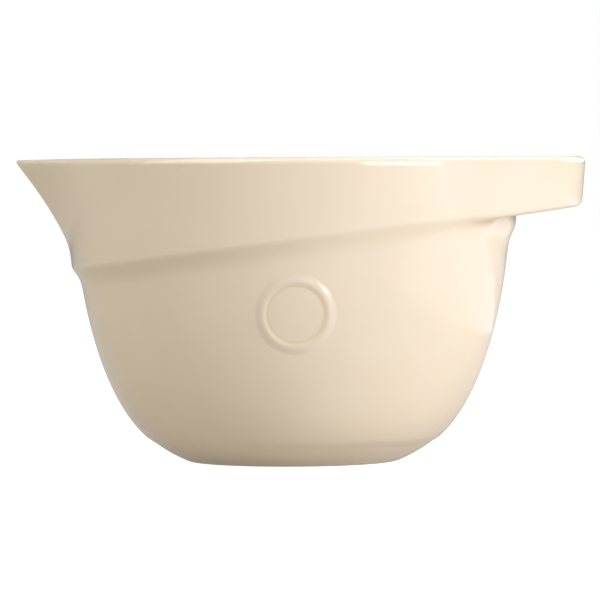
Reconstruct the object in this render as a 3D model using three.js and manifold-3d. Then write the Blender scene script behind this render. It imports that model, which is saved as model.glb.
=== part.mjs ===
// Mixing bowl in glazed stoneware, with a stepped collar, a pouring spout and a hollow lug handle.
// Millimetres, +Z up. The origin is the middle of the resting face, on the bowl's axis.
// The lug points along +X and the spout along -X. Bearings turn about +Z and start at the lug.
import * as THREE from "three";
import { mergeVertices } from "three/addons/utils/BufferGeometryUtils.js";
import Module from "manifold-3d";

const { degToRad, lerp, smoothstep } = THREE.MathUtils;

// Luted joints: the clay members stand this far apart
const LUTE = 0.3;

// Rim and collar
const RIM_HEIGHT = 166.2;
const RIM_RADIUS = 125.6;
const RIM_ROUND = 4;
const COLLAR_WALL = 4.7;
const COLLAR_DRAFT = degToRad(4.5);

// Lower edge of the collar, seen from the side: its depth below the rim on the axis, its tilt up
// towards the lug, and the radius of its shallow arch
const EDGE_DEPTH = 43.1;
const EDGE_TILT = degToRad(7.2);
const EDGE_ARCH = 6000;

// Step under the collar: a concave sweep down to the wall and a roll over the edge
const STEP_DROP = 10;
const STEP_ROLL = 2.2;
const STEP_TOE = 0.6;
const STEP_LOWER_PULL = 7;
const STEP_UPPER_PULL = 4.5;

// Bowl shell: the wall leaves the crease over the foot at an angle and comes up to the rim upright
const CREASE_RADIUS = 77.5;
const CREASE_HEIGHT = 11.3;
const CREASE_RISE = degToRad(34);
const BELLY_PULL = 26;
const SHOULDER_PULL = 91;
const BODY_WALL = 7;
const LIP_WALL = 4.5;
const LIP_ROUND = 3;
const FLOOR_THICKNESS = 8;
const FLOOR_FLAT_RADIUS = 50;

// Foot pad
const FOOT_RADIUS = 57;
const FOOT_CORNER = 4;
const FOOT_THICKNESS = 4;
const FOOT_SET_BACK = 0.9;
const FOOT_TOE = 0.7;

// Pouring spout: a beak whose flanks leave the collar along tangents and meet in a round tip. It is
// seated in a notch in the wall that is wider than the beak by a shoulder on each side, and whose
// floor lies a sill above the step.
const SPOUT_OVERHANG = 26;
const SPOUT_TIP_RADIUS = 9;
const SPOUT_LIP = 3;
const SPOUT_DROP = 41;
const SPOUT_SOFTNESS = 0.12;
const SPOUT_WALL = 6;
const SPOUT_DIP = 0.5;
const SPOUT_LIP_ROUND = 1.5;
const CHANNEL_DROP = 39;
const CHANNEL_TIP_RADIUS = 4;
const NOTCH_SHOULDER = 4.5;
const NOTCH_SILL = 4;

// Lug handle: half of its seat on the shell, how far it stands out, the depth of its lower edge at
// its end, the skirt round its hollow, and the root that comes down the wall under it
const LUG_SEAT = degToRad(42);
const LUG_OVERHANG = 35.4;
const LUG_END_RADIUS = 57;
const LUG_END_DEPTH = 27.2;
const LUG_DECK = 8;
const LUG_SKIRT = 8;
const LUG_SKIRT_ROUND = 3;
const LUG_ROOT_DROP = 38.1;
const LUG_ROOT_BEARING = degToRad(20);
const LUG_HOLLOW_BLEND = 14;
const LUG_HOLLOW_LEAST = 2;

// Blank seal pressed on the front of the belly, under the step: a thin bare field in a raised border
const SEAL_GAP = 8.2;
const SEAL_RADIUS = 20.3;
const SEAL_FIELD_RISE = 0.5;
const SEAL_BORDER_WIDTH = 4.6;
const SEAL_BORDER_RISE = 1.1;
const SEAL_BORDER_SLOPE = 1.7;
const SEAL_BEARING = degToRad(-90);

// Fineness of the facets
const TURN_STEPS = 64;
const WALL_STEPS = 10;
const STEP_STEPS = 5;
const COLLAR_STEPS = 24;
const COLLAR_HEIGHTS = 4;
const LUG_STEPS = 28;
const SPOUT_FLANK_STEPS = 10;
const SPOUT_TIP_STEPS = 4;
const SPOUT_HEIGHTS = 6;
const SEAL_RINGS = 3;
const SEAL_STEPS = 32;
const CORNER_STEPS = 3;
const NOTCH_STEPS = 2;
const HALVINGS = 30;

// Sizes that follow from the ones above
const SEAT_RADIUS = RIM_RADIUS - COLLAR_WALL - LUTE;
const LUG_REACH = RIM_RADIUS + LUG_OVERHANG;
const SPOUT_REACH = RIM_RADIUS + SPOUT_OVERHANG;
const SPOUT_TURN = turnBearing(RIM_RADIUS, SPOUT_TIP_RADIUS, SPOUT_REACH);
const LIP_RADIUS = SEAT_RADIUS - LIP_WALL;
const CHANNEL_OVERHANG = SPOUT_REACH - SPOUT_WALL - LIP_RADIUS;
const SPOUT_SEAT =
  NOTCH_SHOULDER / RIM_RADIUS +
  Math.max(
    tangentBearing(RIM_RADIUS, SPOUT_TIP_RADIUS, SPOUT_REACH),
    tangentBearing(LIP_RADIUS, CHANNEL_TIP_RADIUS, LIP_RADIUS + CHANNEL_OVERHANG),
  );
const UNDERSIDE = FOOT_THICKNESS + LUTE;
const FLOOR_HEIGHT = UNDERSIDE + FLOOR_THICKNESS;
const LUTE_BEARING = LUTE / RIM_RADIUS;
const EDGE_RADIUS = collarRadius(RIM_HEIGHT - EDGE_DEPTH);
const NOTCH_HEIGHT = edgeHeight(-EDGE_RADIUS * Math.cos(SPOUT_SEAT)) + STEP_ROLL + NOTCH_SILL;
const SEAL_HEIGHT = edgeHeight(0) - STEP_DROP - SEAL_GAP - SEAL_RADIUS;

const point = (radius, height) => new THREE.Vector2(radius, height);
const wasm = await Module();
wasm.setup();

// Outside of the shell from the crease to the rim
const wallCurve = new THREE.CubicBezierCurve(
  point(CREASE_RADIUS, CREASE_HEIGHT),
  point(
    CREASE_RADIUS + BELLY_PULL * Math.cos(CREASE_RISE),
    CREASE_HEIGHT + BELLY_PULL * Math.sin(CREASE_RISE),
  ),
  point(SEAT_RADIUS, RIM_HEIGHT - SHOULDER_PULL),
  point(SEAT_RADIUS, RIM_HEIGHT),
);

// Inside of the shell: a wall's thickness in from the outside, thinning towards the lip
function insidePoint(along) {
  const tangent = wallCurve.getTangent(along);
  const inward = point(-tangent.y, tangent.x);
  const thickness = lerp(BODY_WALL, LIP_WALL, along);
  return wallCurve.getPoint(along).addScaledVector(inward, thickness);
}

// Radius of a rising curve at a height, found by halving
function radiusAtHeight(pointAlong, height) {
  let low = 0;
  let high = 1;
  for (let halving = 0; halving < HALVINGS; halving++) {
    const middle = (low + high) / 2;
    if (pointAlong(middle).y < height) low = middle;
    else high = middle;
  }
  return pointAlong(high).x;
}

const wallRadius = (height) => radiusAtHeight((along) => wallCurve.getPoint(along), height);
const insideRadius = (height) => radiusAtHeight(insidePoint, height);
const seatRadius = (height) => wallRadius(height) + LUTE;

// The collar leans in by its draft below the rim
function draftInset(height) {
  return (RIM_HEIGHT - height) * Math.tan(COLLAR_DRAFT);
}

function collarRadius(height) {
  return RIM_RADIUS - draftInset(height);
}

// Height of the collar's lower edge, which depends only on the distance along X
function edgeHeight(x) {
  return RIM_HEIGHT - EDGE_DEPTH + x * Math.tan(EDGE_TILT) - (x * x) / (2 * EDGE_ARCH);
}

// Height of the lug's lower edge, which rises to its end at the collar's tilt
function lugEdgeHeight(x) {
  return RIM_HEIGHT - LUG_END_DEPTH - (LUG_REACH - x) * Math.tan(EDGE_TILT);
}

// A circle about the axis can run out to a smaller round end along two tangents. This is how far to
// each side the tangents leave the circle.
function tangentBearing(circle, end, reach) {
  return Math.acos((circle - end) / (reach - end));
}

// How far to each side the tangents meet the round end
function turnBearing(circle, end, reach) {
  const tangent = tangentBearing(circle, end, reach);
  return Math.atan2(end * Math.sin(tangent), reach - end + end * Math.cos(tangent));
}

// Radius of the circle, its tangents and its round end at a bearing to the side of the end's middle
function runOutRadius(side, circle, end, reach) {
  const tangent = tangentBearing(circle, end, reach);
  if (side > tangent) return circle;
  if (side > turnBearing(circle, end, reach)) return circle / Math.cos(tangent - side);
  const across = (reach - end) * Math.sin(side);
  return (reach - end) * Math.cos(side) + Math.sqrt(end * end - across * across);
}

// Outside of the collar and of the lug that it runs out to
function lugRadius(bearing, height) {
  const inset = draftInset(height);
  const end = LUG_END_RADIUS - inset;
  return runOutRadius(Math.abs(bearing), collarRadius(height), end, LUG_REACH - inset);
}

// Share of the spout's overhang that is left at a depth: whole over the lip's upright edge, then
// falling evenly over its drop, and dying away below that
function overhangLeft(depth, drop) {
  const left = 1 - Math.max(depth - SPOUT_LIP, 0) / drop;
  const most = 1 + Math.hypot(1, SPOUT_SOFTNESS);
  return (left + Math.hypot(left, SPOUT_SOFTNESS)) / most;
}

function spoutRadius(bearing, height) {
  const collar = collarRadius(height);
  const reach = collar + SPOUT_OVERHANG * overhangLeft(RIM_HEIGHT - height, SPOUT_DROP);
  return runOutRadius(Math.abs(Math.PI - bearing), collar, SPOUT_TIP_RADIUS, reach);
}

function channelRadius(bearing, height) {
  const wall = insideRadius(height);
  const reach = wall + CHANNEL_OVERHANG * overhangLeft(RIM_HEIGHT - height, CHANNEL_DROP);
  return runOutRadius(Math.abs(Math.PI - bearing), wall, CHANNEL_TIP_RADIUS, reach);
}

// An even row of values from one to another, both included
function evenRow(from, to, steps) {
  return Array.from({ length: steps + 1 }, (_, index) => lerp(from, to, index / steps));
}

// Quarter of a round edge, from the wall below it to the level face above. A positive round is on
// the outside of a wall, with the level face towards the axis, and a negative one on the inside.
function roundEdge(wallAt, height, round) {
  const below = height - Math.abs(round);
  const shoulder = 1 - Math.SQRT1_2;
  return [
    point(wallAt(below), below),
    point(wallAt(height) - round * shoulder, height - Math.abs(round) * shoulder),
    point(wallAt(height) - round, height),
  ];
}

// The step from the wall out to a collar of a given radius, from its toe up to the rolled edge
function stepPoints(edge, collarOutside) {
  const toe = point(seatRadius(edge - STEP_DROP) + STEP_TOE, edge - STEP_DROP);
  const top = point(collarOutside, edge + STEP_ROLL);
  const sweepUp = new THREE.CubicBezierCurve(
    toe,
    point(toe.x, toe.y + STEP_LOWER_PULL),
    point(top.x, top.y - STEP_UPPER_PULL),
    top,
  );
  return sweepUp.getPoints(STEP_STEPS);
}

// Closed solid between an outer and an inner line, paired point by point, carried round the axis
function sweep(bearings, linesAt) {
  const rings = bearings.map((bearing) => {
    const [outer, inner] = linesAt(bearing);
    const outline = [...outer, ...inner.toReversed()];
    return outline.map(({ x, y }) => [x * Math.cos(bearing), x * Math.sin(bearing), y]);
  });
  const count = rings[0].length;
  const last = (rings.length - 1) * count;
  const faces = [];
  for (let ring = 0; ring < last; ring += count) {
    for (let index = 0; index < count; index++) {
      const here = ring + index;
      const next = ring + ((index + 1) % count);
      faces.push([here, here + count, next + count], [here, next + count, next]);
    }
  }
  for (let index = 0; index + 1 < count / 2; index++) {
    const across = count - 1 - index;
    faces.push([index, index + 1, across - 1], [index, across - 1, across]);
    faces.push([last + index, last + across - 1, last + index + 1]);
    faces.push([last + index, last + across, last + across - 1]);
  }
  return closedGeometry(rings.flat(), faces);
}

// Geometry with its shared corners merged and without the faces that this leaves flat
function closedGeometry(corners, faces) {
  const loose = new THREE.BufferGeometry();
  loose.setAttribute("position", new THREE.Float32BufferAttribute(corners.flat(), 3));
  loose.setIndex(faces.flat());
  const merged = mergeVertices(loose);
  const index = merged.index.array;
  const kept = [];
  for (let face = 0; face < index.length; face += 3) {
    const [a, b, c] = index.slice(face, face + 3);
    if (a !== b && b !== c && c !== a) kept.push(a, b, c);
  }
  merged.setIndex(kept);
  return merged;
}

function turned(profile) {
  return new THREE.LatheGeometry(profile, TURN_STEPS).rotateX(Math.PI / 2);
}

function solidOf(geometry) {
  const bare = geometry.clone();
  bare.deleteAttribute("normal");
  bare.deleteAttribute("uv");
  const merged = mergeVertices(bare);
  const vertProperties = merged.attributes.position.array;
  const triVerts = new Uint32Array(merged.index.array);
  return new wasm.Manifold(new wasm.Mesh({ numProp: 3, vertProperties, triVerts }));
}

function cutAway(geometry, cutter) {
  const mesh = solidOf(geometry).subtract(solidOf(cutter)).getMesh();
  const result = new THREE.BufferGeometry();
  result.setAttribute("position", new THREE.BufferAttribute(mesh.vertProperties, 3));
  result.setIndex(new THREE.BufferAttribute(mesh.triVerts, 1));
  return result;
}

// Turned bowl, round inside, with a notch in its wall for the spout
function bowlShell() {
  const alongs = evenRow(0, 1, WALL_STEPS);
  const outside = alongs.map((along) => wallCurve.getPoint(along));
  const lip = roundEdge(insideRadius, RIM_HEIGHT, -LIP_ROUND).toReversed();
  const inside = alongs.slice(0, -1).toReversed().map(insidePoint);
  const wallFoot = inside.at(-1);
  const cornerRun = (wallFoot.y - FLOOR_HEIGHT) / Math.tan(CREASE_RISE);
  const floorCorner = new THREE.QuadraticBezierCurve(
    wallFoot,
    point(wallFoot.x - cornerRun, FLOOR_HEIGHT),
    point(FLOOR_FLAT_RADIUS, FLOOR_HEIGHT),
  );
  const shell = turned([
    point(0, UNDERSIDE),
    point(FLOOR_FLAT_RADIUS, UNDERSIDE),
    ...outside,
    ...lip,
    ...inside,
    ...floorCorner.getPoints(CORNER_STEPS).slice(1),
    point(0, FLOOR_HEIGHT),
  ]);
  const reach = SPOUT_SEAT + LUTE_BEARING;
  const notchTop = RIM_HEIGHT + RIM_ROUND;
  const notchBack = insideRadius(NOTCH_HEIGHT) - BODY_WALL;
  const notch = sweep(evenRow(Math.PI - reach, Math.PI + reach, NOTCH_STEPS), () => [
    [point(SPOUT_REACH, NOTCH_HEIGHT), point(SPOUT_REACH, notchTop)],
    [point(notchBack, NOTCH_HEIGHT), point(notchBack, notchTop)],
  ]);
  return cutAway(shell, notch);
}

// Bevelled pad under the shell: a flat resting face, and a cone up to just inside the crease
function footPad() {
  const edge = point(CREASE_RADIUS - FOOT_SET_BACK, CREASE_HEIGHT - LUTE);
  const bevel = edge.clone().sub(point(FOOT_RADIUS, 0)).normalize();
  const corner = new THREE.QuadraticBezierCurve(
    point(FOOT_RADIUS - FOOT_CORNER, 0),
    point(FOOT_RADIUS, 0),
    point(FOOT_RADIUS, 0).addScaledVector(bevel, FOOT_CORNER),
  );
  return turned([
    point(0, 0),
    ...corner.getPoints(CORNER_STEPS),
    point(edge.x, edge.y - FOOT_TOE),
    edge,
    point(FLOOR_FLAT_RADIUS, FOOT_THICKNESS),
    point(0, FOOT_THICKNESS),
  ]);
}

// Half of the collar, from the lug to the spout, on one side of the bowl
function collarHalf(from, to) {
  return sweep(evenRow(from, to, COLLAR_STEPS), (bearing) => {
    const outside = (height) => lugRadius(bearing, height);
    const edge = edgeHeight(EDGE_RADIUS * Math.cos(bearing));
    const heights = evenRow(edge + STEP_ROLL, RIM_HEIGHT - RIM_ROUND, COLLAR_HEIGHTS).slice(1, -1);
    const outer = [
      ...stepPoints(edge, outside(edge + STEP_ROLL)),
      ...heights.map((height) => point(outside(height), height)),
      ...roundEdge(outside, RIM_HEIGHT, RIM_ROUND),
    ];
    const inner = outer.map(({ y }) => point(seatRadius(y), y));
    return [outer, inner];
  });
}

// Spout: an apron that laps the outside of the wall, a seat in the notch, and a rising channel
function pouringSpout() {
  const flank = evenRow(SPOUT_SEAT, SPOUT_TURN, SPOUT_FLANK_STEPS).slice(0, -1);
  const bearings = [
    ...flank.map((side) => Math.PI - side),
    ...evenRow(Math.PI - SPOUT_TURN, Math.PI + SPOUT_TURN, SPOUT_TIP_STEPS),
    ...flank.toReversed().map((side) => Math.PI + side),
  ];
  return sweep(bearings, (bearing) => {
    const share = (spoutRadius(bearing, RIM_HEIGHT) - RIM_RADIUS) / SPOUT_OVERHANG;
    const top = RIM_HEIGHT - SPOUT_DIP * share;
    const lipRound = lerp(RIM_ROUND, SPOUT_LIP_ROUND, share);
    const outside = (height) => spoutRadius(bearing, height);
    const inside = (height) => channelRadius(bearing, height);
    const edge = edgeHeight(EDGE_RADIUS * Math.cos(bearing));
    const apron = stepPoints(edge, outside(edge + STEP_ROLL));
    const seat = NOTCH_HEIGHT + LUTE;
    const heights = evenRow(seat + STEP_ROLL, top - LIP_ROUND - RIM_ROUND, SPOUT_HEIGHTS);
    const outer = [
      ...apron,
      point(outside(seat - STEP_ROLL), seat - STEP_ROLL),
      ...heights.map((height) => point(outside(height), height)),
      ...roundEdge(outside, top, lipRound),
    ];
    const inner = [
      ...apron.map(({ y }) => point(seatRadius(y), y)),
      point(seatRadius(seat), seat),
      point(inside(seat), seat),
      ...heights.slice(1).map((height) => point(inside(height), height)),
      ...roundEdge(inside, top, -LIP_ROUND),
    ];
    return [outer, inner];
  });
}

// Lug: a flat deck level with the rim and a skirt round it, hollow underneath for the fingers
function handleLug() {
  const bearings = evenRow(-LUG_SEAT, LUG_SEAT, LUG_STEPS);
  return sweep(bearings, (bearing) => {
    const outside = (height) => lugRadius(bearing, height);
    const collarEdge = edgeHeight(EDGE_RADIUS * Math.cos(bearing));
    const seatShare = smoothstep(Math.abs(bearing), LUG_ROOT_BEARING, LUG_SEAT);
    const rootEdge = lerp(RIM_HEIGHT - LUG_ROOT_DROP, collarEdge, seatShare);
    const root = collarRadius(rootEdge + STEP_ROLL);
    const edgeAt = (radius) =>
      lerp(lugEdgeHeight(radius * Math.cos(bearing)), collarEdge + STEP_ROLL, seatShare);
    const skirtOutside = outside(RIM_HEIGHT - LUG_END_DEPTH);
    const hollowWidth = skirtOutside - LUG_SKIRT - root;
    const hollow = hollowWidth > LUG_HOLLOW_LEAST;
    const skirtInside = hollow ? root + hollowWidth : root;
    const skirtEdge = edgeAt(skirtInside);
    const roofShare = hollow ? smoothstep(hollowWidth, 0, LUG_HOLLOW_BLEND) : 0;
    const roof = lerp(skirtEdge, RIM_HEIGHT - LUG_DECK, roofShare);
    const bottom = edgeAt(skirtOutside);
    const rolled = Math.min(LUG_SKIRT_ROUND, (skirtOutside - skirtInside) / 2);
    const outer = [
      ...stepPoints(rootEdge, root),
      point(root, roof),
      point(skirtInside, roof),
      point(skirtInside, skirtEdge),
      point(skirtOutside - rolled, bottom),
      ...evenRow(bottom + rolled, RIM_HEIGHT - RIM_ROUND, COLLAR_HEIGHTS)
        .slice(0, -1)
        .map((height) => point(outside(height), height)),
      ...roundEdge(outside, RIM_HEIGHT, RIM_ROUND),
    ];
    let highest = 0;
    const inner = outer.map(({ y }) => {
      highest = Math.max(highest, y);
      return point(seatRadius(highest), highest);
    });
    return [outer, inner];
  });
}

// Blank seal: a thin round pad with a raised border, bent to the belly
function blankSeal() {
  const rings = Array.from({ length: SEAL_RINGS }, (_, index) => (index + 1) / SEAL_RINGS);
  const fieldRadius = SEAL_RADIUS - SEAL_BORDER_WIDTH;
  const pad = new THREE.LatheGeometry(
    [
      point(0, 0),
      ...rings.map((share) => point(SEAL_RADIUS * share, 0)),
      point(SEAL_RADIUS - SEAL_BORDER_SLOPE, SEAL_BORDER_RISE),
      point(fieldRadius + SEAL_BORDER_SLOPE, SEAL_BORDER_RISE),
      ...rings.toReversed().map((share) => point(fieldRadius * share, SEAL_FIELD_RISE)),
      point(0, SEAL_FIELD_RISE),
    ],
    SEAL_STEPS,
  );
  const corners = pad.attributes.position;
  for (let corner = 0; corner < corners.count; corner++) {
    const height = SEAL_HEIGHT + corners.getZ(corner);
    const radius = seatRadius(height) + corners.getY(corner);
    const bearing = SEAL_BEARING - corners.getX(corner) / wallRadius(height);
    corners.setXYZ(corner, radius * Math.cos(bearing), radius * Math.sin(bearing), height);
  }
  return pad;
}

const glaze = { color: "#ecdfcb", roughness: 0.3, metalness: 0 };
const bareClay = { color: "#d9c6ab", roughness: 0.85, metalness: 0 };

function part(name, geometry, finish) {
  const mesh = new THREE.Mesh(geometry, new THREE.MeshStandardMaterial(finish));
  mesh.name = name;
  return mesh;
}

const collarStart = LUG_SEAT + LUTE_BEARING;
const collarEnd = Math.PI - SPOUT_SEAT - LUTE_BEARING;
const bowl = new THREE.Group();
bowl.name = "mixing_bowl";
bowl.add(
  part("bowl_shell", bowlShell(), glaze),
  part("foot_pad", footPad(), bareClay),
  part("collar_front", collarHalf(-collarEnd, -collarStart), glaze),
  part("collar_back", collarHalf(collarStart, collarEnd), glaze),
  part("pouring_spout", pouringSpout(), glaze),
  part("handle_lug", handleLug(), glaze),
  part("blank_seal", blankSeal(), glaze),
);

export default bowl;
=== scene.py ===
"""Glazed stoneware mixing bowl: its finished surfaces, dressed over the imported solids.

Metres, +Z up. The origin is the middle of the resting face, the lug points along +X and the spout
along -X. A section is a line of (radius, height) points in the upright half plane at one bearing
about +Z, and each piece is one closed net of such sections.
"""

from math import acos, atan2, cos, hypot, pi, radians, sin, sqrt, tan

import bpy
import numpy as np
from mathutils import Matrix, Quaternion, Vector


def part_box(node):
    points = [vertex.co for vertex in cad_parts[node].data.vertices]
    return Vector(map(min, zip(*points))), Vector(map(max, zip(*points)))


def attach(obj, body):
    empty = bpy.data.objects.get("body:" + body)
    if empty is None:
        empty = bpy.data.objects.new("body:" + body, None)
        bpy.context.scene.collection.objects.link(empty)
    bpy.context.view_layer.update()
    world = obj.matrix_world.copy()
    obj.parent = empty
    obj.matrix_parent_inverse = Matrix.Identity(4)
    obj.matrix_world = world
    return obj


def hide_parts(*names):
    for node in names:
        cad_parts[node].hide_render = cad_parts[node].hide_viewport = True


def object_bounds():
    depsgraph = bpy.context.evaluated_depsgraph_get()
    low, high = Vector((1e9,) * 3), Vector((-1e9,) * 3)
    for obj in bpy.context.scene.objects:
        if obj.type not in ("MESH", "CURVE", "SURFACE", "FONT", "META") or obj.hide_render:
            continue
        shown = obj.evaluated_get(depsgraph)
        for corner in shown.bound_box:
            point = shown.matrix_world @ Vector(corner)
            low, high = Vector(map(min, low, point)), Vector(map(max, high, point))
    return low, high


bl_info = {
    "name": "Stoneware Mixing Bowl",
    "version": (1, 0, 0),
    "blender": (4, 5, 0),
    "location": "View3D > Sidebar > Mixing Bowl",
    "description": "Builds a glazed mixing bowl with a pouring spout and a hollow lug handle",
    "category": "Add Mesh",
}

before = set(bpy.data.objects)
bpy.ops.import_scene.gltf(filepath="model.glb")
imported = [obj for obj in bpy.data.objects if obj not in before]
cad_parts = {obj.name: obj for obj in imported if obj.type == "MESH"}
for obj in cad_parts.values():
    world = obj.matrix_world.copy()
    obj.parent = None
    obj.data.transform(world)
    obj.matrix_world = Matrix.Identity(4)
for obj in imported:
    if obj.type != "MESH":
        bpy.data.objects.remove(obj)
CAD_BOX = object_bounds()
SHELL_LOW, SHELL_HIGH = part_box("bowl_shell")
FOOT_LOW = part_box("foot_pad")[0]
LUG_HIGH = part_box("handle_lug")[1]
SEAL_LOW, SEAL_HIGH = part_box("blank_seal")

MM = 0.001

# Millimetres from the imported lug's end out to the finished lug's, before the rim's edge is rounded
LUG_EXTRA = 0.5

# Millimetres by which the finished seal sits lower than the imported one
SEAL_DROP = 0.9

# Points along each stretch of the body's section
UNDERSIDE_POINTS = 5
CREASE_POINTS = 6
WALL_POINTS = 32
STEP_POINTS = 84
OUTSIDE_POINTS = 16
RIM_POINTS = 9
TOP_POINTS = 9
INSIDE_POINTS = 46
FLOOR_POINTS = 9

# Points along lines that are read from or spaced out again afterwards
WALL_CURVE_POINTS = 400
WALL_TRACE_POINTS = 120
INSIDE_TRACE_POINTS = 90
FLOOR_CORNER_POINTS = 12
STEP_CURVE_POINTS = 24
STEP_LEAD_POINTS = 8
STEP_TAIL_POINTS = 10

# Points along the foot's section and across the seal, and sections round both
RESTING_POINTS = 12
HEEL_POINTS = 8
BEVEL_POINTS = 10
FOOT_SECTIONS = 240
SEAL_POINTS = 60
SEAL_SECTIONS = 128

# Degrees between sections at the lug, along the collar, on the spout's flanks and round its tip
LUG_STEP = 0.7
COLLAR_STEP = 1.6
FLANK_STEP = 0.9
TIP_STEP = 0.2

# Close sections go on past the lug's seat, up to this many times its bearing
LUG_MARGIN = 1.2

# Degrees to each side of the spout's middle where its flanks and its tip start
FLANK_REACH = 42
TIP_REACH = 4

# A softened line is averaged over this many reaches to each side, on this many times its points
BELL_REACHES = 4
BELL_POINTS = 3

# A second point stands this share of a stretch from a seam, so that the shading runs flat up to it
HAIR = 0.01

# Faces that a neighbour hides lie this deep in it, and the seal's edge lies just under the wall
TUCK = 1 * MM
SUNK = 0.05 * MM

# Faces of the foot whose middle lies lower than this are the resting face
LEVEL_LIMIT = 0.05 * MM

# Glaze is deepest in hollows of this radius or less, judged over this many points of a section
GATHER_RADIUS = 6 * MM
GATHER_POINTS = 9

# Widths of the glaze's clouds, runs and peel and of the clay's grit, in millimetres
CLOUD_WIDTH = 38
RUN_WIDTH = 16
PEEL_WIDTH = 2.2
GRIT_WIDTH = 0.9

# Heights of the runs, the peel and the grit
RUN_HEIGHT = 0.12 * MM
PEEL_HEIGHT = 0.012 * MM
GRIT_HEIGHT = 0.1 * MM

# Levels of noise or of glaze depth between which clouds, gathered glaze and grit come up
CLOUD_LEVELS = (0.35, 0.7)
GATHER_LEVELS = (0.1, 1.0)
GRIT_LEVELS = (0.6, 0.75)

# How far the clouds change the glaze's roughness, and the refractive index of glaze and clay
GLOSS_SPREAD = 0.05
CERAMIC_IOR = 1.5

# A mix node's inputs for the share and the two colours, and its output, when it mixes colours
MIX_SHARE = 0
MIX_FIRST = 6
MIX_SECOND = 7
MIX_RESULT = 2

# Half the floor's width in metres, and how far it lies below the resting face
FLOOR_REACH = 12
FLOOR_GAP = 0.1 * MM

WHITE = (1, 1, 1, 1)

# Softboxes stand this far from the bowl in metres. Each has its name, power in watts, degrees round
# from the camera towards the lug, degrees up, width in metres and colour
SOFTBOX_DISTANCE = 1.8
SOFTBOXES = (
    ("key", 43, 55, 11, 1.4, "#ecf2ff"),
    ("fill", 25, -59, 50, 1.6, "#f9fbff"),
    ("back", 17, 135, 35, 2.0, "#ffffff"),
    ("top", 10, 0, 88, 1.6, "#ffffff"),
)


def linear(code):
    """Linear colour of an sRGB hex code."""
    shares = [int(code[at:at + 2], 16) / 255 for at in (1, 3, 5)]
    return tuple(v / 12.92 if v <= 0.04045 else ((v + 0.055) / 1.055) ** 2.4 for v in shares)


def length(name, description, millimetres):
    """Property for a length, given in millimetres and kept in metres."""
    return bpy.props.FloatProperty(
        name=name, description=description, default=millimetres * MM, unit="LENGTH", precision=4
    )


def angle(name, description, degrees):
    """Property for an angle, given in degrees and kept in radians."""
    return bpy.props.FloatProperty(
        name=name,
        description=description,
        default=radians(degrees),
        subtype="ANGLE",
        unit="ROTATION",
    )


def colour(name, description, code):
    """Property for a colour, given as an sRGB hex code."""
    return bpy.props.FloatVectorProperty(
        name=name,
        description=description,
        default=linear(code),
        subtype="COLOR",
        size=3,
        min=0,
        max=1,
    )


def share(name, description, value):
    """Property for a share of one."""
    return bpy.props.FloatProperty(
        name=name, description=description, default=value, subtype="FACTOR", min=0, max=1
    )


def settings_group(kind, name, description):
    """Property for a group of settings."""
    return bpy.props.PointerProperty(type=kind, name=name, description=description)


class BodySizes(bpy.types.PropertyGroup):
    """Sizes of the bowl's wall, collar and foot"""

    rim_height: length("Rim height", "Height of the rim over the resting face", SHELL_HIGH.z / MM)
    rim_radius: length("Rim radius", "Outside of the collar at the rim", 125.6)
    rim_round: length("Rim round", "Rounding of the rim's outer edge", 4)
    collar_draft: angle("Collar draft", "Lean of the collar from upright", 4.5)
    edge_depth: length("Edge depth", "Depth of the collar's lower edge below the rim", 43.1)
    edge_tilt: angle("Edge tilt", "Rise of the collar's lower edge towards the lug", 7.2)
    edge_arch: length("Edge arch", "Radius of the lower edge's arch, seen from the side", 6000)
    step_drop: length("Step drop", "How far the step runs down the wall below the edge", 12)
    step_roll: length("Step roll", "How far the step rolls over above the edge", 2)
    step_lower_pull: length("Step lower pull", "Softness of the step at the wall", 9.5)
    step_upper_pull: length("Step upper pull", "Softness of the step at the collar", 4.2)
    seat_radius: length("Wall radius", "Outside of the wall behind the rim", SHELL_HIGH.y / MM)
    crease_radius: length("Crease radius", "Outside of the wall at the crease over the foot", 78.8)
    crease_height: length("Crease height", "Height of the crease over the foot", 12.2)
    crease_rise: angle("Crease rise", "Slope of the wall where it leaves the crease", 37)
    crease_round: length("Crease round", "Rounding of the wall's lower edge", 3)
    belly_pull: length("Belly pull", "Fullness of the wall at the belly", 25.8)
    shoulder_pull: length("Shoulder pull", "Height over which the wall comes upright", 89.1)
    wall_at_crease: length("Wall at the crease", "Thickness of the wall at its foot", 7)
    wall_at_lip: length("Wall at the lip", "Thickness of the wall at its lip", 4.5)
    lip_round: length("Lip round", "Rounding of the rim's inner edge", 3)
    floor_thickness: length("Floor thickness", "Thickness of the bowl's floor", 8)
    floor_flat: length("Floor flat", "Radius of the flat floor inside", 50)
    foot_radius: length("Foot radius", "Radius of the foot at the resting face", 57.8)
    foot_corner: length("Foot corner", "Rounding between the resting face and the bevel", 3)
    bevel_bow: length("Bevel bow", "How far the bevel swells between crease and heel", 0.5)
    softness: length("Softness", "Reach of the glaze's rounding along the step", 0.6)


class SpoutSizes(bpy.types.PropertyGroup):
    """Sizes of the pouring spout"""

    overhang: length("Overhang", "How far the tip stands out from the collar", 25.5)
    tip_radius: length("Tip radius", "Rounding of the tip, seen from above", 9)
    lip: length("Lip", "Depth of the tip's upright edge", 2.5)
    drop: length("Drop", "Depth over which the spout runs back into the collar", 45.5)
    bow: share("Bow", "How far the spout's underside bows in between its tip and the collar", 0.3)
    softness: share("Softness", "How softly the spout runs out below", 0.08)
    wall: length("Wall", "Thickness of the spout's tip", 6)
    dip: length("Dip", "How far the tip lies below the rim", 0.5)
    lip_round: length("Lip round", "Rounding of the tip's outer edge", 1.5)
    channel_drop: length("Channel drop", "Depth over which the channel rises from the wall", 43)
    channel_tip_radius: length("Channel tip radius", "Rounding of the channel, seen from above", 4)


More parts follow.
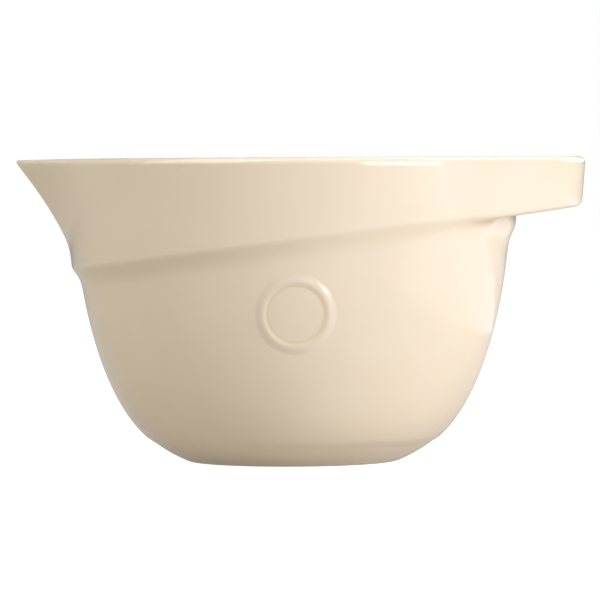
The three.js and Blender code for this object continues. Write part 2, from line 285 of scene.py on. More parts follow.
class LugSizes(bpy.types.PropertyGroup):
    """Sizes of the lug handle"""

    reach: length("Reach", "Distance of the lug's end from the axis", LUG_HIGH.x / MM + LUG_EXTRA)
    end_radius: length("End radius", "Radius of the lug's round end", 57)
    end_depth: length("End depth", "Depth of the lug's lower edge at its end", 26.7)
    deck: length("Deck", "Thickness of the lug's deck", 8)
    skirt: length("Skirt", "Thickness of the skirt round the hollow", 8)
    root_drop: length("Root drop", "Depth of the root under the lug below the rim", 38.1)
    root_bearing: angle("Root bearing", "Half angle of the root's lowest stretch", 8)
    root_end_bearing: angle("Root end bearing", "Where the root has come up to the step", 32)
    merge_bearing: angle("Merge bearing", "Where the lug's edge starts to run into the step", 24)
    seat_bearing: angle("Seat bearing", "Where the lug has run into the collar", 42)
    hollow_blend: length("Hollow blend", "Width of the hollow under its full roof", 14)
    softness: length("Softness", "Reach of the rounding along the lug's lower edge", 2.6)


class SealSizes(bpy.types.PropertyGroup):
    """Sizes of the blank seal"""

    height: length(
        "Height", "Height of the seal's middle", (SEAL_LOW.z + SEAL_HIGH.z) / 2 / MM - SEAL_DROP
    )
    crest_radius: length("Crest radius", "Radius of the raised border's crest", 17.4)
    outer_slope: length("Outer slope", "Width of the border's slope down to the wall", 4.4)
    inner_slope: length("Inner slope", "Width of the border's slope down to the field", 2.8)
    border_rise: length("Border rise", "Height of the border over the wall", 0.9)
    field_rise: length("Field rise", "Height of the bare field over the wall", 0.3)
    bearing: angle("Bearing", "Bearing of the seal from the lug", -90.4)


class Finishes(bpy.types.PropertyGroup):
    """Colours and gloss of the glaze and the bare clay"""

    glaze: colour("Glaze", "Cream glaze at its usual depth", "#ead6bb")
    glaze_pale: colour("Pale glaze", "Paler clouds in the glaze", "#ebd8be")
    glaze_deep: colour("Deep glaze", "Glaze where it gathers in hollows", "#e5cfae")
    glaze_roughness: share("Glaze roughness", "Roughness of the glossy glaze", 0.12)
    clay: colour("Bare clay", "Fired clay with no glaze", "#cdb28c")
    clay_grit: colour("Clay grit", "Dark grit in the clay", "#9c7f5b")
    clay_roughness: share("Clay roughness", "Roughness of the bare clay", 0.85)


class StageSettings(bpy.types.PropertyGroup):
    """Camera, floor and lights"""

    camera_distance: length("Camera distance", "Level distance of the camera from the axis", 2585)
    camera_height: length("Camera height", "Height of the camera over the floor", 158.6)
    camera_bearing: angle("Camera bearing", "How far the camera stands round towards the lug", -1.3)
    aim_side: length("Aim to the side", "How far right of the axis the camera aims", 4)
    aim_height: length("Aim height", "Height that the camera aims at", 88.2)
    camera_roll: angle("Camera roll", "How far the camera leans to its right", 0.3)
    lens: bpy.props.FloatProperty(
        name="Lens", description="Focal length on a 36 mm sensor", default=282.6, unit="CAMERA"
    )
    card_near: length("Card near edge", "Distance of the card's near edge from the axis", 330)
    card_width: length("Card width", "Width of the white card, away from the bowl", 1100)
    card_length: length("Card length", "Length of the card, along the camera's view", 1000)
    card_back: length("Card back", "How far the card's middle lies behind the axis", 140)
    card_colour: colour("Card", "Tint of the white card", "#f4ecff")
    card_power: bpy.props.FloatProperty(
        name="Card power", description="Light that the glaze mirrors", default=2.2, unit="POWER"
    )
    floor_colour: colour("Floor", "Plain pale floor", "#a5a298")
    floor_glow: share("Floor glow", "Light that the floor lets through from below", 0.24)
    sky: share("Sky", "Strength of the even light from all round", 0.05)
    light: bpy.props.FloatProperty(name="Light", description="Strength of all lights", default=1)


def sizes():
    """The settings that the scene holds."""
    return bpy.context.scene.mixing_bowl


def blend(start, end, part):
    """Value a part of the way from start to end."""
    return start + (end - start) * part


def ease(value, low, high):
    """Share from 0 below low to 1 above high, level at both ends."""
    part = np.clip((value - low) / (high - low), 0, 1)
    return part * part * (3 - 2 * part)


def bezier(corners, count):
    """Points along the Bezier curve of these corners, both ends included."""
    part = np.linspace(0, 1, count)[:, None]
    layer = [np.array(corner) for corner in corners]
    while len(layer) > 1:
        layer = [blend(a, b, part) for a, b in zip(layer, layer[1:])]
    return layer[0]


def evenly(line, count):
    """The line again, as points at even distances along it."""
    steps = np.hypot(*np.diff(line, axis=0).T)
    run = np.concatenate([[0], np.cumsum(steps)])
    wanted = np.linspace(0, run[-1], count)
    return np.column_stack([np.interp(wanted, run, line[:, axis]) for axis in (0, 1)])


def softened(line, reach, count):
    """The line with its corners rounded by a bell-shaped average over that reach, evenly spaced."""
    even = evenly(line, BELL_POINTS * count)
    step = hypot(*(even[1] - even[0]))
    width = int(BELL_REACHES * reach / step) + 1
    bell = np.exp(-0.5 * (np.arange(-width, width + 1) * step / reach) ** 2)
    before = even[0] + (even[0] - even[1]) * np.arange(width, 0, -1)[:, None]
    after = even[-1] + (even[-1] - even[-2]) * np.arange(1, width + 1)[:, None]
    whole = np.vstack([before, even, after])
    smooth = [np.convolve(whole[:, axis], bell / bell.sum(), "valid") for axis in (0, 1)]
    return evenly(np.column_stack(smooth), count)


def run_out(side, circle, end, reach):
    """Radius of a circle that runs out to a round end by tangents, at an angle from its middle."""
    tangent = acos((circle - end) / (reach - end))
    turn = atan2(end * sin(tangent), reach - end + end * cos(tangent))
    if side > tangent:
        return circle
    if side > turn:
        return circle / cos(tangent - side)
    across = (reach - end) * sin(side)
    return (reach - end) * cos(side) + sqrt(end * end - across * across)


class BowlForm:
    """The bowl's surfaces as formulas, from its sizes."""

    def __init__(self, body, spout, lug):
        self.body = body
        self.spout = spout
        self.lug = lug
        rise = Vector((cos(body.crease_rise), sin(body.crease_rise))) * body.belly_pull
        self.wall_line = bezier(
            [
                (body.crease_radius, body.crease_height),
                (body.crease_radius + rise.x, body.crease_height + rise.y),
                (body.seat_radius, body.rim_height - body.shoulder_pull),
                (body.seat_radius, body.rim_height),
            ],
            WALL_CURVE_POINTS,
        )
        along = np.gradient(self.wall_line, axis=0)
        along /= np.hypot(*along.T)[:, None]
        inward = np.column_stack([-along[:, 1], along[:, 0]])
        thickness = np.linspace(body.wall_at_crease, body.wall_at_lip, len(self.wall_line))
        self.inside_line = self.wall_line + inward * thickness[:, None]
        self.edge_radius = self.collar_radius(body.rim_height - body.edge_depth)
        self.underside = SHELL_LOW.z
        self.floor_height = self.underside + body.floor_thickness

    def wall_radius(self, height):
        """Outside of the wall."""
        return np.interp(height, self.wall_line[:, 1], self.wall_line[:, 0])

    def inside_radius(self, height):
        """Inside of the wall."""
        return np.interp(height, self.inside_line[:, 1], self.inside_line[:, 0])

    def draft_inset(self, height):
        """How far the collar leans in at a height."""
        return (self.body.rim_height - height) * tan(self.body.collar_draft)

    def collar_radius(self, height):
        """Outside of the round collar."""
        return self.body.rim_radius - self.draft_inset(height)

    def edge_height(self, bearing):
        """Height of the collar's lower edge."""
        x = self.edge_radius * cos(bearing)
        middle = self.body.rim_height - self.body.edge_depth
        return middle + x * tan(self.body.edge_tilt) - x * x / (2 * self.body.edge_arch)

    def lug_edge_height(self, x):
        """Height of the lug's lower edge, which rises to its end at the collar's tilt."""
        end = self.body.rim_height - self.lug.end_depth
        return end - (self.lug.reach - x) * tan(self.body.edge_tilt)

    def lug_radius(self, bearing, height):
        """Outside of the collar and of the lug that it runs out to."""
        inset = self.draft_inset(height)
        end = self.lug.end_radius - inset
        return run_out(abs(bearing), self.collar_radius(height), end, self.lug.reach - inset)

    def overhang_left(self, height, drop):
        """Share of the spout's overhang that is left at a height, falling from below the lip."""
        soft = self.spout.softness
        left = 1 - max(self.body.rim_height - height - self.spout.lip, 0) / drop
        left -= self.spout.bow * max(left, 0) * (1 - left)
        return (left + hypot(left, soft)) / (1 + hypot(1, soft))

    def outside_radius(self, bearing, height):
        """Outside of the collar, the lug and the spout."""
        spout = self.spout
        if cos(bearing) > 0:
            return self.lug_radius(bearing, height)
        collar = self.collar_radius(height)
        reach = collar + spout.overhang * self.overhang_left(height, spout.drop)
        return run_out(pi - abs(bearing), collar, spout.tip_radius, reach)

    def spout_share(self, bearing):
        """Share of the spout's overhang that the rim has at a bearing."""
        if cos(bearing) > 0:
            return 0.0
        over = self.outside_radius(bearing, self.body.rim_height) - self.body.rim_radius
        return over / self.spout.overhang

    def channel_radius(self, bearing, height):
        """Inside of the wall and of the spout's channel."""
        spout = self.spout
        wall = self.inside_radius(height)
        if cos(bearing) > 0:
            return wall
        tip = self.body.rim_radius + spout.overhang - spout.wall
        overhang = tip - (self.body.seat_radius - self.body.wall_at_lip)
        reach = wall + overhang * self.overhang_left(height, spout.channel_drop)
        return run_out(pi - abs(bearing), wall, spout.channel_tip_radius, reach)

    def bevel_end(self):
        """Upper end of the foot's bevel, where the wall's rounded lower edge starts."""
        crease = self.wall_line[0]
        down = np.array([self.body.foot_radius, 0.0]) - crease
        return crease + down * (self.body.crease_round / hypot(*down))

    def underside_line(self):
        """From the middle of the underside out to the rounded lower edge of the wall."""
        body = self.body
        crease = self.wall_line[0]
        rise = np.array([cos(body.crease_rise), sin(body.crease_rise)])
        outer = crease + rise * body.crease_round
        radii = np.linspace(0, body.floor_flat, UNDERSIDE_POINTS)
        level = np.column_stack([radii, np.full(UNDERSIDE_POINTS, self.underside)])
        end = self.bevel_end()
        beside = end - (crease - end) * HAIR
        return np.vstack([level, [beside], bezier([end, crease, outer], CREASE_POINTS)])

    def wall_stretch(self, low, high, count):
        """Outside of the wall between two heights."""
        heights = np.linspace(low, high, count)
        return np.column_stack([self.wall_radius(heights), heights])

    def outside_stretch(self, bearing, low, high, count):
        """Outside of the collar, the lug or the spout between two heights."""
        heights = np.linspace(low, high, count)
        return np.array([(self.outside_radius(bearing, height), height) for height in heights])

    def step_line(self, edge, radius):
        """Sweep from the wall out to a radius over the collar's lower edge."""
        body = self.body
        toe = np.array([self.wall_radius(edge - body.step_drop), edge - body.step_drop])
        ahead = np.array([self.wall_radius(toe[1] + MM), toe[1] + MM]) - toe
        ahead *= body.step_lower_pull / hypot(*ahead)
        top = np.array([radius, edge + body.step_roll])
        below = top - (0, body.step_upper_pull)
        return bezier([toe, toe + ahead, below, top], STEP_CURVE_POINTS)

    def lug_line(self, bearing, edge):
        """From the toe of the root under the lug, over the finger hollow or ledge, to the outside.

        Where the lug leaves the collar, the step parts at its steepest point: its lower half goes
        over into the root, and its upper half into the lug's lower edge.
        """
        body = self.body
        lug = self.lug
        top = body.rim_height
        side = abs(bearing)
        seated = ease(side, lug.merge_bearing, lug.seat_bearing)
        rolled = edge + body.step_roll
        collar = self.collar_radius(rolled)
        swell = seated * (self.lug_radius(bearing, rolled) - collar)
        step = self.step_line(edge, collar + swell)
        upper = step[len(step) // 2:]
        risen = ease(side, lug.root_bearing, lug.root_end_bearing)
        root_edge = blend(top - lug.root_drop, edge, risen)
        root = self.step_line(root_edge, self.collar_radius(root_edge + body.step_roll) + swell)
        outer = self.lug_radius(bearing, blend(top - lug.end_depth, rolled, seated))

        def ledge(radius):
            """Height of the lower edge at a radius, blended from the lug's into the step's."""
            return blend(self.lug_edge_height(radius * cos(bearing)), upper[0][1], seated)

        root_radius = np.interp(ledge(root[-1][0]), root[:, 1], root[:, 0])
        width = max(outer - lug.skirt - root_radius, 0)
        inner = root_radius + width
        roof = blend(ledge(inner), top - lug.deck, ease(width, 0, lug.hollow_blend))
        hollow = [(root_radius, roof), (inner, roof), (inner, ledge(inner))]
        lip_rise = (upper - upper[0])[:, 1] * seated
        lip_inset = (upper[-1] - upper)[:, 0] * seated
        lip = np.column_stack([outer - lip_inset, ledge(outer) + lip_rise])
        return np.vstack([root[root[:, 1] < ledge(root_radius)], hollow, lip])

    def lower_edge(self, bearing):
        """From the wall below the step, over the step and any ledge, up onto the outside."""
        body = self.body
        lug = self.lug
        lead = body.step_drop
        edge = self.edge_height(bearing)
        side = abs(bearing)
        if side >= lug.seat_bearing:
            line = self.step_line(edge, self.outside_radius(bearing, edge + body.step_roll))
        else:
            line = self.lug_line(bearing, edge)
        merged = ease(side, lug.root_end_bearing, lug.seat_bearing)
        softness = blend(lug.softness, body.softness, merged)
        toe = line[0][1]
        bottom = line[-1][1]
        wall = self.wall_stretch(toe - lead, toe, STEP_LEAD_POINTS)
        outside = self.outside_stretch(bearing, bottom, bottom + lead, STEP_TAIL_POINTS)
        return softened(np.vstack([wall[:-1], line, outside[1:]]), softness, STEP_POINTS)

    def rim_line(self, bearing):
        """Over the rim: rounded outer edge, level top and rounded inner edge."""
        body = self.body
        spout = self.spout
        part = self.spout_share(bearing)
        top = body.rim_height - spout.dip * part

        def quarter(radius_at, rounding, side):
            """Rounded edge from an upright face to the level top, towards one side."""
            points = []
            for turn in np.linspace(0, pi / 2, RIM_POINTS):
                height = top - rounding * (1 - sin(turn))
                inset = side * rounding * (1 - cos(turn))
                points.append((radius_at(bearing, height) + inset, height))
            return points

        outer_round = blend(body.rim_round, spout.lip_round, part)
        outer_edge = quarter(self.outside_radius, outer_round, -1)
        inner_edge = quarter(self.channel_radius, body.lip_round, 1)[::-1]
        level = np.linspace(outer_edge[-1], inner_edge[0], TOP_POINTS)
        return np.vstack([outer_edge, level[1:-1], inner_edge])

    def inside_stretch(self, bearing, top):
        """Down the inside, round the floor's corner and in to the middle of the floor."""
        body = self.body
        foot = self.inside_line[0]
        heights = np.linspace(top, foot[1], INSIDE_TRACE_POINTS)
        wall = np.array([(self.channel_radius(bearing, height), height) for height in heights])
        run = (foot[1] - self.floor_height) / tan(body.crease_rise)
        flat = (body.floor_flat, self.floor_height)
        turn = (foot[0] - run, self.floor_height)
        corner = bezier([foot, turn, flat], FLOOR_CORNER_POINTS)
        down = evenly(np.vstack([wall, corner[1:]]), INSIDE_POINTS)
        radii = np.linspace(body.floor_flat, 0, FLOOR_POINTS)
        level = np.column_stack([radii, np.full(FLOOR_POINTS, self.floor_height)])
        return np.vstack([down[1:], level[1:]])

    def section(self, bearing):
        """Whole section of the glazed body at a bearing, from underside to floor."""
        underside = self.underside_line()
        lower_edge = self.lower_edge(bearing)
        rim = self.rim_line(bearing)
        wall = self.wall_stretch(underside[-1][1], lower_edge[0][1], WALL_TRACE_POINTS)
        wall = evenly(wall, WALL_POINTS)
        outside = self.outside_stretch(bearing, lower_edge[-1][1], rim[0][1], OUTSIDE_POINTS)
        inside = self.inside_stretch(bearing, rim[-1][1])
        return np.vstack([underside, wall[1:-1], lower_edge, outside[1:-1], rim, inside])

    def bearings(self):
        """Bearings of the sections, closer together at the lug and at the spout."""
        lug_end = LUG_MARGIN * self.lug.seat_bearing
        flank_start = pi - radians(FLANK_REACH)
        tip_start = pi - radians(TIP_REACH)
        zones = [
            (0, lug_end, LUG_STEP),
            (lug_end, flank_start, COLLAR_STEP),
            (flank_start, tip_start, FLANK_STEP),
            (tip_start, pi, TIP_STEP),
        ]
        half = [
            np.linspace(start, end, round((end - start) / radians(step)), endpoint=False)
            for start, end, step in zones
        ]
        half = np.concatenate(half)
        return np.concatenate([half, [pi], -half[:0:-1]])


def glaze_depth(section):
    """How the glaze lies along a section: 1 deep in a hollow, 0 on a flat, -1 thin on an edge."""
    steps = np.diff(section, axis=0)
    heading = np.unwrap(np.arctan2(steps[:, 1], steps[:, 0]))
    run = np.hypot(*steps.T)
    bend = np.diff(heading) / ((run[1:] + run[:-1]) / 2)
    bell = np.hanning(GATHER_POINTS)
    padded = np.pad(bend, GATHER_POINTS // 2, mode="edge")
    bend = np.convolve(padded, bell / bell.sum(), "valid")
    return np.pad(np.clip(-bend * GATHER_RADIUS, -1, 1), 1)


def closed_net(name, sections, bearings, place):
    """Closed mesh of sections that start and end on their axis, with points where place says."""
    inner = len(sections[0]) - 2
    points = [place(bearings[0], *sections[0][0])]
    for bearing, section in zip(bearings, sections):
        points += [place(bearing, *point) for point in section[1:-1]]
    points.append(place(bearings[0], *sections[0][-1]))
    last = len(points) - 1
    faces = []
    for column in range(len(sections)):
        here = 1 + column * inner
        there = 1 + (column + 1) % len(sections) * inner
        faces.append((0, there, here))
        for row in range(inner - 1):
            faces.append((here + row, there + row, there + row + 1, here + row + 1))
        faces.append((here + inner - 1, there + inner - 1, last))
    mesh = bpy.data.meshes.new(name)
    mesh.from_pydata(points, [], faces)
    mesh.shade_smooth()
    depth = mesh.attributes.new("glaze_depth", "FLOAT", "POINT")
    depths = np.concatenate([[0], *(glaze_depth(section)[1:-1] for section in sections), [0]])
    depth.data.foreach_set("value", depths.astype(np.float32))
    piece = bpy.data.objects.new(name, mesh)
    bpy.context.scene.collection.objects.link(piece)
    return piece


def round_axis(bearing, radius, height):
    """Point at a bearing, radius and height about the bowl's axis."""
    return radius * cos(bearing), radius * sin(bearing), height


def add_node(tree, kind, inputs=None, **settings):
    """New node in a tree, with its settings, and its inputs set or linked."""
    node = tree.nodes.new(kind)
    for name, value in settings.items():
        setattr(node, name, value)
    for socket, value in (inputs or {}).items():
        if isinstance(value, bpy.types.NodeSocket):
            tree.links.new(value, node.inputs[socket])
        else:
            node.inputs[socket].default_value = value
    return node


def per_metre(millimetres):
    """Noise scale whose features are about this wide."""
    return 1 / (millimetres * MM)


def new_material(name):
    """Empty material with its node tree and the surface socket of its output."""
    material = bpy.data.materials.new(name)
    material.use_nodes = True
    material.node_tree.nodes.clear()
    output = material.node_tree.nodes.new("ShaderNodeOutputMaterial")
    return material, material.node_tree, output.inputs["Surface"]


def glazed_stoneware():
    """Cream glaze, dipped and fired to a soft gloss: even, faintly clouded, deeper in hollows."""
    known = bpy.data.materials.get("Glazed Stoneware")
    if known:
        return known
    finish = sizes().finishes
    material, tree, surface = new_material("Glazed Stoneware")
    place = add_node(tree, "ShaderNodeTexCoord").outputs["Object"]
    clouds = add_node(
        tree,
        "ShaderNodeTexNoise",
        {"Vector": place, "Scale": per_metre(CLOUD_WIDTH), "Detail": 3.0},
    )
    cloudiness = add_node(
        tree,
        "ShaderNodeMapRange",
        {
            "Value": clouds.outputs["Fac"],
            "From Min": CLOUD_LEVELS[0],
            "From Max": CLOUD_LEVELS[1],
        },
        interpolation_type="SMOOTHSTEP",
    )
    clouded = add_node(
        tree,
        "ShaderNodeMix",
        {
            MIX_SHARE: cloudiness.outputs["Result"],
            MIX_FIRST: (*finish.glaze, 1),
            MIX_SECOND: (*finish.glaze_pale, 1),
        },
        data_type="RGBA",
    )
    depth = add_node(tree, "ShaderNodeAttribute", attribute_name="glaze_depth").outputs["Fac"]
    gathered = add_node(
        tree,
        "ShaderNodeMapRange",
        {"Value": depth, "From Min": GATHER_LEVELS[0], "From Max": GATHER_LEVELS[1]},
        interpolation_type="SMOOTHSTEP",
    )
    deepened = add_node(
        tree,
        "ShaderNodeMix",
        {
            MIX_SHARE: gathered.outputs["Result"],
            MIX_FIRST: clouded.outputs[MIX_RESULT],
            MIX_SECOND: (*finish.glaze_deep, 1),
        },
        data_type="RGBA",
    )
    peel = add_node(
        tree,
        "ShaderNodeTexNoise",
        {"Vector": place, "Scale": per_metre(PEEL_WIDTH), "Detail": 2.0},
    )
    gloss = add_node(
        tree,
        "ShaderNodeMapRange",
        {
            "Value": clouds.outputs["Fac"],
            "To Min": finish.glaze_roughness - GLOSS_SPREAD,
            "To Max": finish.glaze_roughness + GLOSS_SPREAD,
        },
    )
    runs = add_node(
        tree,
        "ShaderNodeTexNoise",
        {"Vector": place, "Scale": per_metre(RUN_WIDTH), "Detail": 1.0},
    )
    wavy = add_node(
        tree,
        "ShaderNodeBump",
        {"Height": runs.outputs["Fac"], "Distance": RUN_HEIGHT, "Strength": 1.0},
    )
    peeled = add_node(
        tree,
        "ShaderNodeBump",
        {
            "Height": peel.outputs["Fac"],
            "Distance": PEEL_HEIGHT,
            "Strength": 1.0,
            "Normal": wavy.outputs["Normal"],
        },
    )
    shader = add_node(
        tree,
        "ShaderNodeBsdfPrincipled",
        {
            "Base Color": deepened.outputs[MIX_RESULT],
            "Roughness": gloss.outputs["Result"],
            "IOR": CERAMIC_IOR,
            "Normal": peeled.outputs["Normal"],
        },
    )
    tree.links.new(shader.outputs["BSDF"], surface)
    return material


def bare_stoneware():
    """Fired clay wiped clean of glaze: matt, buff, with a fine dark grit that makes it rough."""
    known = bpy.data.materials.get("Bare Stoneware")
    if known:
        return known
    finish = sizes().finishes
    material, tree, surface = new_material("Bare Stoneware")
    place = add_node(tree, "ShaderNodeTexCoord").outputs["Object"]
    # The real grit is about 0.3 mm wide, too fine to show, so it is drawn coarser
    grit = add_node(
        tree,
        "ShaderNodeTexNoise",
        {"Vector": place, "Scale": per_metre(GRIT_WIDTH), "Detail": 3.0},
    )
    speckle = add_node(
        tree,
        "ShaderNodeMapRange",
        {
            "Value": grit.outputs["Fac"],
            "From Min": GRIT_LEVELS[0],
            "From Max": GRIT_LEVELS[1],
        },
    )
    body = add_node(
        tree,
        "ShaderNodeMix",
        {
            MIX_SHARE: speckle.outputs["Result"],
            MIX_FIRST: (*finish.clay, 1),
            MIX_SECOND: (*finish.clay_grit, 1),
        },
        data_type="RGBA",
    )
    rough = add_node(
        tree,
        "ShaderNodeBump",
        {"Height": grit.outputs["Fac"], "Distance": GRIT_HEIGHT, "Strength": 1.0},
    )
    shader = add_node(
        tree,
        "ShaderNodeBsdfPrincipled",
        {
            "Base Color": body.outputs[MIX_RESULT],
            "Roughness": finish.clay_roughness,
            "IOR": CERAMIC_IOR,
            "Normal": rough.outputs["Normal"],
        },
    )
    tree.links.new(shader.outputs["BSDF"], surface)
    return material


def bowl_form():
    """The bowl's formulas with the scene's sizes."""
    settings = sizes()
    return BowlForm(settings.body, settings.spout, settings.lug)


class GlazedBody(bpy.types.Operator):
    """Build the glazed body: wall, collar, spout and lug under one skin of glaze"""

    bl_idname = "mixing_bowl.glazed_body"
    bl_label = "Glazed Body"

    def execute(self, context):
        form = bowl_form()
        bearings = form.bearings()
        sections = [form.section(bearing) for bearing in bearings]
        piece = closed_net("glazed_body", sections, bearings, round_axis)
        piece.data.materials.append(glazed_stoneware())
        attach(piece, "root")
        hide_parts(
            "bowl_shell", "collar_front", "collar_back", "pouring_spout", "handle_lug"
        )
        return {"FINISHED"}


class BevelledFoot(bpy.types.Operator):
    """Build the bevelled foot: glazed bevel and bare resting face"""

    bl_idname = "mixing_bowl.bevelled_foot"
    bl_label = "Bevelled Foot"

    def execute(self, context):
        body = sizes().body
        bevel_end = bowl_form().bevel_end()
        heel = np.array([body.foot_radius, 0.0])
        slope = bevel_end - heel
        slope *= body.foot_corner / hypot(*slope)
        edge = heel - (body.foot_corner, 0)
        resting = np.linspace((0.0, 0.0), edge, RESTING_POINTS)
        corner = bezier([edge, heel, heel + slope], HEEL_POINTS)
        part = np.linspace(0, 1, BEVEL_POINTS)[:, None]
        arch = 4 * part * (1 - part)
        outward = np.array([slope[1], -slope[0]]) / body.foot_corner
        bevel = blend(heel + slope, bevel_end - slope * HAIR, part)
        bevel = bevel + outward * body.bevel_bow * arch
        hidden = SHELL_LOW.z + TUCK
        tucked = [(body.floor_flat, hidden), (0, hidden)]
        section = np.vstack([resting, corner[1:], bevel[1:], [bevel_end], tucked])
        bearings = np.linspace(-pi, pi, FOOT_SECTIONS, endpoint=False)
        piece = closed_net("bevelled_foot", [section] * len(bearings), bearings, round_axis)
        piece.data.materials.append(glazed_stoneware())
        piece.data.materials.append(bare_stoneware())
        for face in piece.data.polygons:
            face.material_index = 1 if face.center.z < LEVEL_LIMIT else 0
        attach(piece, "root")
        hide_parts("foot_pad")
        return {"FINISHED"}


class PlainSeal(bpy.types.Operator):
    """Build the blank seal: a soft raised border round a bare field on the belly"""

    bl_idname = "mixing_bowl.plain_seal"
    bl_label = "Plain Seal"

    def execute(self, context):
        seal = sizes().seal
        form = bowl_form()

        def on_belly(turn, radius, rise):
            """Point over the wall, at a turn and a radius about the seal's middle."""
            height = seal.height + radius * sin(turn)
            wall = form.wall_radius(height)
            bearing = seal.bearing + radius * cos(turn) / wall
            return round_axis(bearing, wall + rise, height)

        def rise_at(radius):
            """Height of the seal's face over the wall."""
            crest = seal.crest_radius
            slope = seal.outer_slope if radius > crest else seal.inner_slope
            swell = max(1 - ((radius - crest) / slope) ** 2, 0) ** 2
            field = 1 - ease(radius, crest - slope, crest)
            return seal.border_rise * swell + seal.field_rise * field * (1 - swell)

        outer = seal.crest_radius + seal.outer_slope
        face = [(radius, rise_at(radius)) for radius in np.linspace(outer, 0, SEAL_POINTS)]
        back = [(0, -TUCK), (outer / 2, -TUCK), (outer, -TUCK), (outer, -SUNK)]
        turns = np.linspace(-pi, pi, SEAL_SECTIONS, endpoint=False)
        section = np.array(back + face[1:])
        piece = closed_net("plain_seal", [section] * len(turns), turns, on_belly)
        piece.data.materials.append(glazed_stoneware())
        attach(piece, "root")
        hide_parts("blank_seal")
        return {"FINISHED"}


class StudioStage(bpy.types.Operator):
    """Set the stage: pale floor, even light, softboxes, bright card and camera"""

    bl_idname = "mixing_bowl.studio_stage"
    bl_label = "Studio Stage"

    def execute(self, context):
        stage = sizes().stage
        pale_floor(stage)
        white_sky(stage)
        for name, power, bearing, rise, width, tint in SOFTBOXES:
            lamp = softbox(name, radians(bearing), radians(rise), width)
            lamp.energy = stage.light * power
            lamp.color = linear(tint)
        white_card(stage)
        photo_camera(stage)
        context.scene.view_settings.view_transform = "Standard"
        return {"FINISHED"}


def aimed(thing, location, target):
    """Stands a light or the camera at a place and turns it to a target."""
    thing.location = location
    thing.rotation_mode = "QUATERNION"
    thing.rotation_quaternion = (Vector(target) - Vector(location)).to_track_quat("-Z", "Y")
    bpy.context.scene.collection.objects.link(thing)
    return thing


def softbox(name, bearing, rise, width):
    """Square light turned to the middle of the bowl, which the camera doesn't see."""
    light = bpy.data.lights.new(name, "AREA")
    light.size = width
    middle = (CAD_BOX[0] + CAD_BOX[1]) / 2
    away = Vector((sin(bearing) * cos(rise), -cos(bearing) * cos(rise), sin(rise)))
    place = middle + away * SOFTBOX_DISTANCE
    stand = aimed(bpy.data.objects.new(name, light), place, middle)
    stand.visible_camera = False
    return light


def white_card(stage):
    """Bright card on the floor beyond the lug, which shows only where the glaze mirrors it."""
    light = bpy.data.lights.new("card", "AREA")
    light.shape = "RECTANGLE"
    light.size = stage.card_width
    light.size_y = stage.card_length
    light.energy = stage.light * stage.card_power
    light.color = stage.card_colour
    place = Vector((stage.card_near + stage.card_width / 2, stage.card_back, FOOT_LOW.z))
    card = aimed(bpy.data.objects.new("card", light), place, place + Vector((0, 0, 1)))
    card.visible_camera = False
    card.visible_diffuse = False


def photo_camera(stage):
    """Camera at the photograph's viewing angle, just below the level of the rim."""
    right = Vector((cos(stage.camera_bearing), sin(stage.camera_bearing), 0))
    back = Vector((sin(stage.camera_bearing), -cos(stage.camera_bearing), 0))
    aside = right * stage.aim_side
    aim = aside + Vector((0, 0, stage.aim_height))
    stand = aside + back * stage.camera_distance + Vector((0, 0, stage.camera_height))
    camera = bpy.data.cameras.new("photo_camera")
    camera.lens = stage.lens
    holder = aimed(bpy.data.objects.new("photo_camera", camera), stand, aim)
    holder.rotation_quaternion @= Quaternion((0, 0, 1), -stage.camera_roll)
    bpy.context.scene.camera = holder


def pale_floor(stage):
    """Plain pale floor under the bowl, bright enough behind it to meet the white sky."""
    mesh = bpy.data.meshes.new("floor")
    signs = [(-1, -1), (1, -1), (1, 1), (-1, 1)]
    level = FOOT_LOW.z - FLOOR_GAP
    corners = [(x * FLOOR_REACH, y * FLOOR_REACH, level) for x, y in signs]
    mesh.from_pydata(corners, [], [(0, 1, 2, 3)])
    floor = bpy.data.objects.new("floor", mesh)
    bpy.context.scene.collection.objects.link(floor)
    material, tree, surface = new_material("Pale Floor")
    matt = add_node(tree, "ShaderNodeBsdfDiffuse", {"Color": (*stage.floor_colour, 1)})
    seen = add_node(tree, "ShaderNodeLightPath").outputs["Is Camera Ray"]
    bright = add_node(tree, "ShaderNodeMapRange", {"Value": seen, "To Min": stage.floor_glow})
    glow = add_node(tree, "ShaderNodeEmission", {"Strength": bright.outputs["Result"]})
    both = add_node(
        tree, "ShaderNodeAddShader", {0: matt.outputs["BSDF"], 1: glow.outputs["Emission"]}
    )
    tree.links.new(both.outputs["Shader"], surface)
    mesh.materials.append(material)


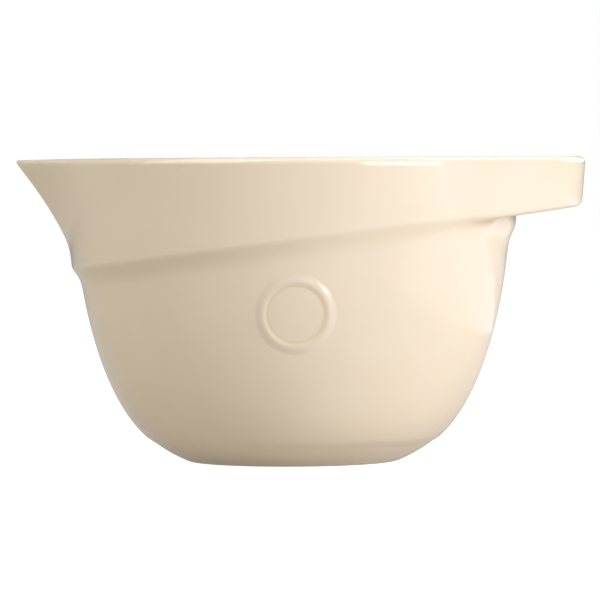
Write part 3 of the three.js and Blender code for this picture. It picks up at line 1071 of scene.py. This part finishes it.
def white_sky(stage):
    """White all round for the camera, and a softer even light for everything else."""
    world = bpy.data.worlds.new("studio")
    world.use_nodes = True
    tree = world.node_tree
    tree.nodes.clear()
    even = add_node(tree, "ShaderNodeBackground", {"Color": WHITE, "Strength": stage.sky})
    white = add_node(tree, "ShaderNodeBackground", {"Color": WHITE, "Strength": 1.0})
    seen = add_node(tree, "ShaderNodeLightPath").outputs["Is Camera Ray"]
    both = add_node(
        tree,
        "ShaderNodeMixShader",
        {0: seen, 1: even.outputs["Background"], 2: white.outputs["Background"]},
    )
    output = add_node(tree, "ShaderNodeOutputWorld", {"Surface": both.outputs["Shader"]})
    output.is_active_output = True
    bpy.context.scene.world = world


class MixingBowl(bpy.types.PropertyGroup):
    """All settings of the mixing bowl"""

    body: settings_group(BodySizes, "Body", "Wall, collar and foot")
    spout: settings_group(SpoutSizes, "Spout", "Pouring spout")
    lug: settings_group(LugSizes, "Lug", "Lug handle")
    seal: settings_group(SealSizes, "Seal", "Blank seal")
    finishes: settings_group(Finishes, "Finishes", "Glaze and clay")
    stage: settings_group(StageSettings, "Stage", "Camera, floor and lights")


OPERATORS = (GlazedBody, BevelledFoot, PlainSeal, StudioStage)
GROUPS = ("body", "spout", "lug", "seal", "finishes", "stage")


class MixingBowlPanel(bpy.types.Panel):
    """Sidebar panel with the bowl's operators and settings"""

    bl_idname = "VIEW3D_PT_mixing_bowl"
    bl_label = "Mixing Bowl"
    bl_space_type = "VIEW_3D"
    bl_region_type = "UI"
    bl_category = "Mixing Bowl"

    def draw(self, context):
        for operator in OPERATORS:
            self.layout.operator(operator.bl_idname)
        for name in GROUPS:
            group = getattr(context.scene.mixing_bowl, name)
            box = self.layout.box()
            box.label(text=name.capitalize())
            for setting in group.__annotations__:
                box.prop(group, setting)


CLASSES = (
    BodySizes,
    SpoutSizes,
    LugSizes,
    SealSizes,
    Finishes,
    StageSettings,
    MixingBowl,
    *OPERATORS,
    MixingBowlPanel,
)


def register():
    """Registers the classes and the scene's settings."""
    for cls in CLASSES:
        bpy.utils.register_class(cls)
    bpy.types.Scene.mixing_bowl = bpy.props.PointerProperty(type=MixingBowl)


def unregister():
    """Takes the settings and the classes out again."""
    del bpy.types.Scene.mixing_bowl
    for cls in reversed(CLASSES):
        bpy.utils.unregister_class(cls)


def main():
    register()
    bpy.ops.mixing_bowl.glazed_body()
    bpy.ops.mixing_bowl.bevelled_foot()
    bpy.ops.mixing_bowl.plain_seal()
    bpy.ops.mixing_bowl.studio_stage()


if __name__ == "__main__":
    main()
